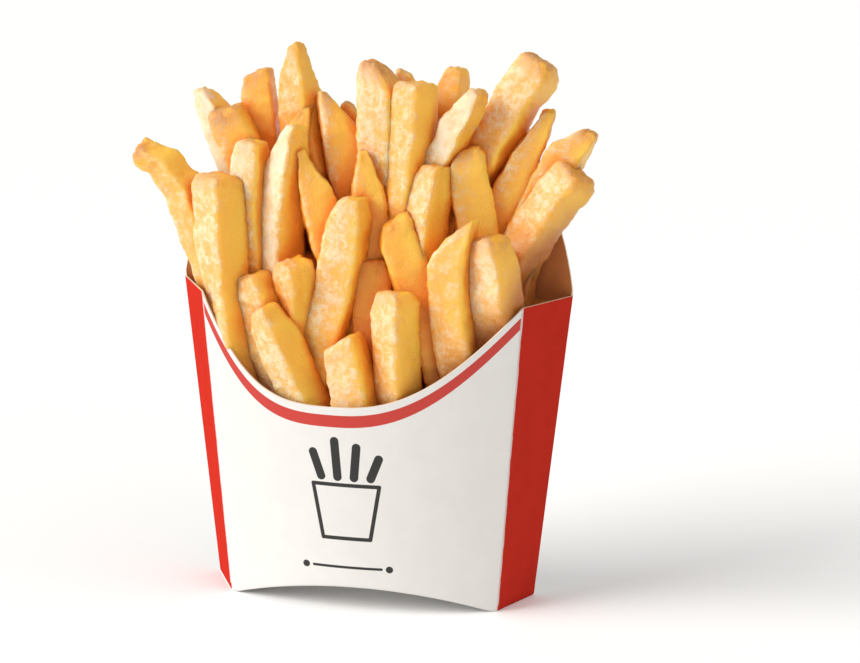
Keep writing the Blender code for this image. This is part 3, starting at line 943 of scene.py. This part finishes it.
def fried(fry, number, cut, length, least_depth):
    """One fry: a copy of a raw cut with its end shaped, pressed to its place and puffed."""
    rng = random.Random(FRY_SEED * 1000 + number)
    true_length = (Vector(fry.tip) - Vector(fry.foot)).length
    piece = cut.copy()
    piece.data = cut.data.copy()
    bpy.context.scene.collection.objects.link(piece)
    raw = np.empty(len(piece.data.vertices) * 3, np.float32)
    piece.data.vertices.foreach_get("co", raw)
    raw = raw.reshape(-1, 3)
    share = raw[:, 2] / length
    below_tip = (1 - share) * true_length
    sideways = np.abs(raw[:, :2]) / (RAW_WIDTH / 2, RAW_DEPTH / 2)
    ridge = np.clip((sideways.min(1) - RIDGE_FROM) / RIDGE_SPAN, 0, 1)
    tip = np.clip(1 - below_tip / CRUST_LENGTH, 0, 1)
    browned = tip * fry.brown
    offset = np.array([rng.uniform(0, 1) for _ in range(3)])
    place = raw * (fry.width / RAW_WIDTH, fry.depth / RAW_DEPTH, true_length / length) + offset
    narrowing = (1 - fry.end_width) * np.clip(1 - below_tip / fry.end_length, 0, 1) ** END_POWER
    point = fry.end_side * RAW_WIDTH / 2
    raw[:, 0] = point + (raw[:, 0] - point) * (1 - narrowing)
    raw[:, 1] *= 1 - FLATTENED_END * narrowing
    piece.data.vertices.foreach_set("co", raw.ravel())
    keep_numbers(piece.data, "fry_place", "FLOAT_VECTOR", place)
    crust = piece.vertex_groups.new(name="crust")
    for index, weight in enumerate(tip):
        if weight > 0:
            crust.add([index], float(weight), "REPLACE")
    set_press(fry, length, rng)
    apply_modifier(piece, "Pressed", "LATTICE", object=fry_press)
    apply_modifier(piece, "Lumps", "DISPLACE", texture=lumps, strength=LUMP_HEIGHT)
    apply_modifier(piece, "Blisters", "DISPLACE", texture=blisters, strength=BLISTER_HEIGHT)
    apply_modifier(piece, "Grain", "DISPLACE", texture=grain, strength=GRAIN_HEIGHT)
    apply_modifier(
        piece, "Crust", "DISPLACE", texture=blisters, strength=TIP_CRUST_HEIGHT, vertex_group="crust"
    )
    # Painted light: how far each point faces the key light is baked into its numbers, to paint a pale
    # sheen on the lit faces and a brighter yellow on the shaded ones.
    centres = np.array([fry_path(fry, float(part))[0] + CARTON_AT for part in share])
    outward = np.array([vert.co for vert in piece.data.vertices]) - centres
    outward /= np.linalg.norm(outward, axis=1, keepdims=True) + 1e-6
    facing = np.array([vert.normal for vert in piece.data.vertices]) + ROUNDNESS * outward
    facing /= np.linalg.norm(facing, axis=1, keepdims=True) + 1e-6
    lit_share = smooth_step(facing @ np.array(KEY_LIGHT_SIDE), 0.15, 0.9)
    pale = fry.pale * mix(SHEEN_IN_SHADE, 1, lit_share)
    deep = [max(least_depth, buried(vert.co - CARTON_AT)) for vert in piece.data.vertices]
    keep_numbers(piece.data, "fry_browned", "FLOAT", browned)
    keep_numbers(piece.data, "fry_ridge", "FLOAT", ridge)
    keep_numbers(piece.data, "fry_pale", "FLOAT", pale)
    keep_numbers(piece.data, "fry_sunny", "FLOAT", lit_share)
    keep_numbers(piece.data, "fry_depth", "FLOAT", deep)
    return piece


pieces = []
for number, fry in enumerate((*FRONT_FRIES, *MIDDLE_FRIES, *REAR_FRIES, *GAP_FRIES)):
    long = (Vector(fry.tip) - Vector(fry.foot)).length
    nearest = min(RAW_LENGTHS, key=lambda length: abs(length - long))
    least_depth = GAP_DEPTH if fry in GAP_FRIES else 0.0
    pieces.append(fried(fry, number, raw_cuts[nearest], nearest, least_depth))
for number, fry in enumerate(back_fries(), 100):
    pieces.append(fried(fry, number, coarse_cut, COARSE_LENGTH, 0.0))
for number, fry in enumerate(inner_fries(), 200):
    pieces.append(fried(fry, number, coarse_cut, COARSE_LENGTH, INNER_DEPTH))
fry_bundle = join_pieces(pieces, "fry_bundle")
bpy.ops.object.shade_smooth()

LOOKS = 44
LOOK_FROM = 0.0003
LOOK_REACH = 0.016
LOOK_LEAST = 0.15
GOLDEN_TURN = math.pi * (3 - math.sqrt(5))
EVENING_ROUNDS = 3


def shut_in(bundle):
    """How far the fries about it shut in each point, from 0 in the open to 1 where nothing reaches it."""
    tree = BVHTree.FromObject(bundle, bpy.context.evaluated_depsgraph_get())
    count = len(bundle.data.vertices)
    places = np.empty(count * 3)
    normals = np.empty(count * 3)
    bundle.data.vertices.foreach_get("co", places)
    bundle.data.vertices.foreach_get("normal", normals)
    places, normals = places.reshape(-1, 3), normals.reshape(-1, 3)
    looks = []
    for k in range(LOOKS):
        z = 1 - (2 * k + 1) / LOOKS
        turn = k * GOLDEN_TURN
        looks.append((math.sqrt(1 - z * z) * math.cos(turn), math.sqrt(1 - z * z) * math.sin(turn), z))
    open_sides = normals @ np.array(looks).T
    starts = places + normals * LOOK_FROM
    looks = [Vector(look) for look in looks]
    shut = np.zeros(count)
    for index in range(count):
        start = Vector(starts[index])
        total = blocked = 0.0
        for side, weight in enumerate(open_sides[index]):
            if weight < LOOK_LEAST:
                continue
            total += weight
            gap = tree.ray_cast(start, looks[side], LOOK_REACH)[3]
            if gap is not None:
                blocked += weight * (1 - gap / LOOK_REACH)
        shut[index] = blocked / max(total, 1e-6)
    edges = np.empty(len(bundle.data.edges) * 2, int)
    bundle.data.edges.foreach_get("vertices", edges)
    edges = edges.reshape(-1, 2)
    neighbours = np.bincount(edges.ravel(), minlength=count)
    for _ in range(EVENING_ROUNDS):
        around = np.bincount(edges[:, 0], shut[edges[:, 1]], count)
        around += np.bincount(edges[:, 1], shut[edges[:, 0]], count)
        shut = 0.5 * shut + 0.5 * around / np.maximum(neighbours, 1)
    return shut


keep_numbers(fry_bundle.data, "fry_shut", "FLOAT", shut_in(fry_bundle))
for leftover in (*raw_cuts.values(), coarse_cut, fry_press):
    bpy.data.objects.remove(leftover)


# The crust. Hot oil dries the outside of the potato to a thin shell, golden and a little glossy, and the
# ends brown first. The faces turned to the key light are painted paler, a painted sheen in ragged patches
# with painted white glints, and the faces turned away a brighter yellow, a painted glow of light through
# the potato.
# Deep in the bundle, where the fries shut each other in and throw their colour on each other, the gold is
# painted amber and brown, painted shade and painted reflected light.
# YELLOW is a painted glow on the faces in shade and ORANGE the lit faces under the sheen; CREAM, BUTTER
# and the white are painted sheen and glints; the amber and the deep brown are painted shade; BROWN is the
# browned ends.
YELLOW = (1.0, 0.56, 0.060)
ORANGE = (0.94, 0.41, 0.045)
CREAM = (0.90, 0.65, 0.38)
BUTTER = (0.90, 0.50, 0.15)
GLINT_WHITE = (0.98, 0.84, 0.64)
BROWN = (0.58, 0.20, 0.030)
AMBER_SHADE = (0.95, 0.34, 0.030)
DEEP_SHADE = (0.44, 0.095, 0.016)


def fried_crust_group():
    """Fried potato from the place on its fry and from what the fry's own numbers say of each point."""
    group, nodes, links, source, sink = new_group(
        "fried_crust",
        (
            ("Place", "Vector"),
            ("Browned", "Float"),
            ("Ridge", "Float"),
            ("Pale", "Float"),
            ("Sunny", "Float"),
            ("Depth", "Float"),
            ("Shut", "Float"),
        ),
        (("Colour", "Color"), ("Roughness", "Float"), ("Height", "Float")),
    )
    place = source.outputs["Place"]
    stretch = nodes.new("ShaderNodeVectorMath")
    stretch.operation = "MULTIPLY"
    links.new(place, stretch.inputs[0])
    stretch.inputs[1].default_value = (1.0, 1.0, 0.35)
    streaks = noise(nodes, links, stretch.outputs[0], 240, 3, 0.6)
    clouds = noise(nodes, links, place, 170, 3, 0.55)
    ragged = noise(nodes, links, place, 420, 6, 0.72, 0.3)
    specks = noise(nodes, links, place, 2100, 3, 0.65)
    # Painted light: faces turned away from the key light are painted a brighter yellow, a painted glow of
    # light through the potato, and those turned to it orange; the streaks are the crust's own variation.
    toward_orange = maths(
        nodes,
        links,
        "MULTIPLY_ADD",
        ramp_between(nodes, links, streaks, 0.36, 0.64),
        0.35,
        maths(nodes, links, "MULTIPLY_ADD", source.outputs["Sunny"], 0.75, -0.1),
        clamp=True,
    )
    golden = blend_colours(nodes, links, toward_orange, YELLOW, ORANGE)
    depth, shut = source.outputs["Depth"], source.outputs["Shut"]
    # Painted shade: where the fries shut each other in, the gold is painted amber, standing for shade and
    # warm light thrown between them.
    golden = blend_colours(nodes, links, ramp_between(nodes, links, shut, 0.10, 0.46), golden, AMBER_SHADE)
    # Painted shade: deep in the heap the gold is painted dark brown.
    golden = blend_colours(nodes, links, maths(nodes, links, "MULTIPLY", depth, 0.85), golden, DEEP_SHADE)
    # Painted highlight: the pale sheen of the faces turned to the key light, ragged, a little stronger
    # along the ridges, and taken away where the fries shut each other in or lie deep.
    sheen_share = maths(nodes, links, "MINIMUM", source.outputs["Pale"], 1.35)
    sheen_share = maths(nodes, links, "ADD", sheen_share, maths(nodes, links, "MULTIPLY_ADD", ragged, 1.1, -0.55))
    sheen_share = maths(nodes, links, "ADD", sheen_share, maths(nodes, links, "MULTIPLY_ADD", clouds, 0.9, -0.45))
    sheen_share = maths(nodes, links, "MULTIPLY_ADD", source.outputs["Ridge"], 0.15, sheen_share)
    sheen_share = maths(nodes, links, "MULTIPLY_ADD", shut, -0.8, sheen_share)
    painted_sheen = maths(
        nodes,
        links,
        "MULTIPLY",
        ramp_between(nodes, links, sheen_share, 0.16, 0.85),
        maths(nodes, links, "MULTIPLY_ADD", depth, -0.9, 1.0),
    )
    creamy = blend_colours(nodes, links, ramp_between(nodes, links, ragged, 0.42, 0.60), BUTTER, CREAM)
    # Painted highlight: the palest fries are painted nearly white where they face the key light, less
    # where they are shut in.
    whitish = maths(
        nodes,
        links,
        "MULTIPLY",
        ramp_between(nodes, links, source.outputs["Pale"], 0.75, 1.3, 0.0, 0.85),
        ramp_between(nodes, links, clouds, 0.38, 0.60, 0.35, 1.0),
    )
    whitish = maths(
        nodes, links, "MULTIPLY", whitish, ramp_between(nodes, links, shut, 0.15, 0.50, 1.0, 0.2)
    )
    creamy = blend_colours(nodes, links, whitish, creamy, GLINT_WHITE)
    colour = blend_colours(nodes, links, painted_sheen, golden, creamy)
    # Painted glints: tiny white highlights in the specks, mostly on the painted sheen.
    glints = maths(
        nodes,
        links,
        "MULTIPLY",
        ramp_between(nodes, links, specks, 0.56, 0.66),
        maths(nodes, links, "MULTIPLY_ADD", painted_sheen, 0.6, 0.05),
        clamp=True,
    )
    colour = blend_colours(nodes, links, glints, colour, GLINT_WHITE)
    browned = maths(
        nodes,
        links,
        "MULTIPLY",
        source.outputs["Browned"],
        ramp_between(nodes, links, ragged, 0.36, 0.58, 0.25, 1.0),
        clamp=True,
    )
    colour = blend_colours(nodes, links, maths(nodes, links, "MULTIPLY", browned, 0.75), colour, BROWN)
    links.new(colour, sink.inputs["Colour"])
    links.new(ramp_between(nodes, links, painted_sheen, 0.0, 1.0, 0.32, 0.46), sink.inputs["Roughness"])
    rough = maths(nodes, links, "MULTIPLY", ragged, maths(nodes, links, "MULTIPLY_ADD", painted_sheen, 0.5, 0.5))
    height = maths(nodes, links, "MULTIPLY_ADD", specks, 0.4, rough)
    links.new(height, sink.inputs["Height"])
    return group


fried_crust = fried_crust_group()


def crust_in(nodes, links, shader, place):
    """Places the fried crust in a material and gives its light the depth and gloss of oily potato."""
    crust = nodes.new("ShaderNodeGroup")
    crust.node_tree = fried_crust
    links.new(place, crust.inputs["Place"])
    relief = nodes.new("ShaderNodeBump")
    relief.inputs["Strength"].default_value = 0.9
    relief.inputs["Distance"].default_value = 0.0009
    links.new(crust.outputs["Height"], relief.inputs["Height"])
    links.new(relief.outputs["Normal"], shader.inputs["Normal"])
    links.new(crust.outputs["Colour"], shader.inputs["Base Color"])
    links.new(crust.outputs["Roughness"], shader.inputs["Roughness"])
    shader.inputs["Subsurface Weight"].default_value = 0.55
    shader.inputs["Subsurface Radius"].default_value = (1.0, 0.7, 0.3)
    shader.inputs["Subsurface Scale"].default_value = 0.004
    shader.inputs["Coat Weight"].default_value = 0.15
    shader.inputs["Coat Roughness"].default_value = 0.25
    return crust


def fry_material():
    material, nodes, links, shader = new_material("fried_potato_crust")
    crust = crust_in(nodes, links, shader, numbers_of(nodes, "fry_place", "Vector"))
    for name in ("Browned", "Ridge", "Pale", "Sunny", "Depth", "Shut"):
        links.new(numbers_of(nodes, "fry_" + name.lower()), crust.inputs[name])
    return material


fry_bundle.data.materials.clear()
fry_bundle.data.materials.append(fry_material())
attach(fry_bundle, "root")
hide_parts("fries")


# The bed of fries below those that show. It fills the carton as packed fries do, and its top slopes up
# from the front to the back; its crust is painted dark as painted shade, so that only darkness and deep
# gold show between the standing fries.
BED_INSET = 0.0016
BED_FRONT_TOP = 0.046
BED_BACK_TOP = 0.086
BED_FLOOR = 0.0020
BED_CUTS = (43, 11, 9)
UNCUT_EDGE = 1.9
BED_LUMP_HEIGHT = 0.001

deselect_all()
bpy.ops.mesh.primitive_cube_add(size=2)
fry_bed = bpy.context.object
fry_bed.name = fry_bed.data.name = "fry_bed"
for axis, cuts in enumerate(BED_CUTS):
    select_edges(fry_bed, lambda start, end, axis=axis: abs(start[axis] - end[axis]) > UNCUT_EDGE)
    bpy.ops.mesh.subdivide(number_cuts=cuts)
    bpy.ops.object.mode_set(mode="OBJECT")
for vert in fry_bed.data.vertices:
    u, depth, up = vert.co.x, (vert.co.y + 1) / 2, (vert.co.z + 1) / 2
    z = mix(arch_height(u) + BED_FLOOR, mix(BED_FRONT_TOP, BED_BACK_TOP, depth), up)
    near, far = panel_point(u, z, False), panel_point(u, z, True)
    spot = near.lerp(far, depth)
    middle = near.lerp(far, 0.5)
    to_middle = middle - spot
    if to_middle.length > BED_INSET:
        spot += to_middle.normalized() * BED_INSET * abs(2 * depth - 1)
    spot.x *= 1 - BED_INSET / FRONT_HALF_FOOT
    vert.co = spot + CARTON_AT
apply_modifier(fry_bed, "Lumps", "DISPLACE", texture=lumps, strength=BED_LUMP_HEIGHT, mid_level=0.9)
make_active(fry_bed)
bpy.ops.object.shade_smooth()


def bed_material():
    material, nodes, links, shader = new_material("bed_in_painted_shade")
    crust = crust_in(nodes, links, shader, object_place(nodes))
    # Painted shade: the bed is painted as lying deep in the heap and fully shut in.
    crust.inputs["Depth"].default_value = 1.0
    crust.inputs["Shut"].default_value = 1.0
    return material


fry_bed.data.materials.append(bed_material())
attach(fry_bed, "root")
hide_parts("fries")


# The studio: a plain pale floor, a large soft light from the upper left and a weaker one from the right,
# and a camera fitted to the carton's corners as the photograph shows them.
FLOOR_GREY = 0.92
WORLD_LIGHT = 0.50
KEY_FROM = (-0.78, -0.41, 0.48)
FILL_FROM = (0.55, -0.35, 0.75)
CAMERA_YAW = math.radians(10.85)
CAMERA_PITCH = math.radians(12.82)
CAMERA_ROLL = math.radians(0.78)
CAMERA_DISTANCE = 0.60126
CAMERA_LENS = 92.09
CAMERA_SENSOR = 36
CAMERA_AIM = CARTON_AT + Vector((0.01647, 0, 0.07619))

deselect_all()
bpy.ops.mesh.primitive_plane_add(size=6)
floor = bpy.context.object
floor.name = "studio_floor"
floor_material, _, _, floor_shader = new_material("pale_floor")
floor_shader.inputs["Base Color"].default_value = (FLOOR_GREY, FLOOR_GREY, FLOOR_GREY, 1)
floor_shader.inputs["Roughness"].default_value = 0.7
floor.data.materials.append(floor_material)

scene = bpy.context.scene
scene.view_settings.view_transform = "Standard"
world = bpy.data.worlds.new("studio")
world.use_nodes = True
world.node_tree.nodes["Background"].inputs["Color"].default_value = (1.0, 0.99, 0.98, 1)
world.node_tree.nodes["Background"].inputs["Strength"].default_value = WORLD_LIGHT
scene.world = world


def soft_sun(name, direction, power, spread, colour):
    """A light so large and far that it falls evenly, from a direction given from the carton."""
    light = bpy.data.lights.new(name, "SUN")
    light.energy = power
    light.angle = math.radians(spread)
    light.color = colour
    lamp = bpy.data.objects.new(name, light)
    lamp.rotation_euler = Vector(direction).to_track_quat("Z", "Y").to_euler()
    scene.collection.objects.link(lamp)


soft_sun("key", KEY_FROM, 3.3, 40, (1.0, 0.985, 0.96))
soft_sun("fill", FILL_FROM, 0.70, 60, (1.0, 0.97, 0.92))

back = Vector(
    (
        math.sin(CAMERA_YAW) * math.cos(CAMERA_PITCH),
        -math.cos(CAMERA_YAW) * math.cos(CAMERA_PITCH),
        math.sin(CAMERA_PITCH),
    )
)
level = (-back).cross(Vector((0, 0, 1))).normalized()
upright = level.cross(-back)
right = level * math.cos(CAMERA_ROLL) + upright * math.sin(CAMERA_ROLL)
up = upright * math.cos(CAMERA_ROLL) - level * math.sin(CAMERA_ROLL)
lens = bpy.data.cameras.new("camera")
lens.sensor_width = CAMERA_SENSOR
lens.lens = CAMERA_LENS
lens.clip_start = 0.01
camera = bpy.data.objects.new("camera", lens)
camera.matrix_world = Matrix.Translation(CAMERA_AIM + back * CAMERA_DISTANCE) @ Matrix(
    (right, up, back)
).transposed().to_4x4()
scene.collection.objects.link(camera)
scene.camera = camera
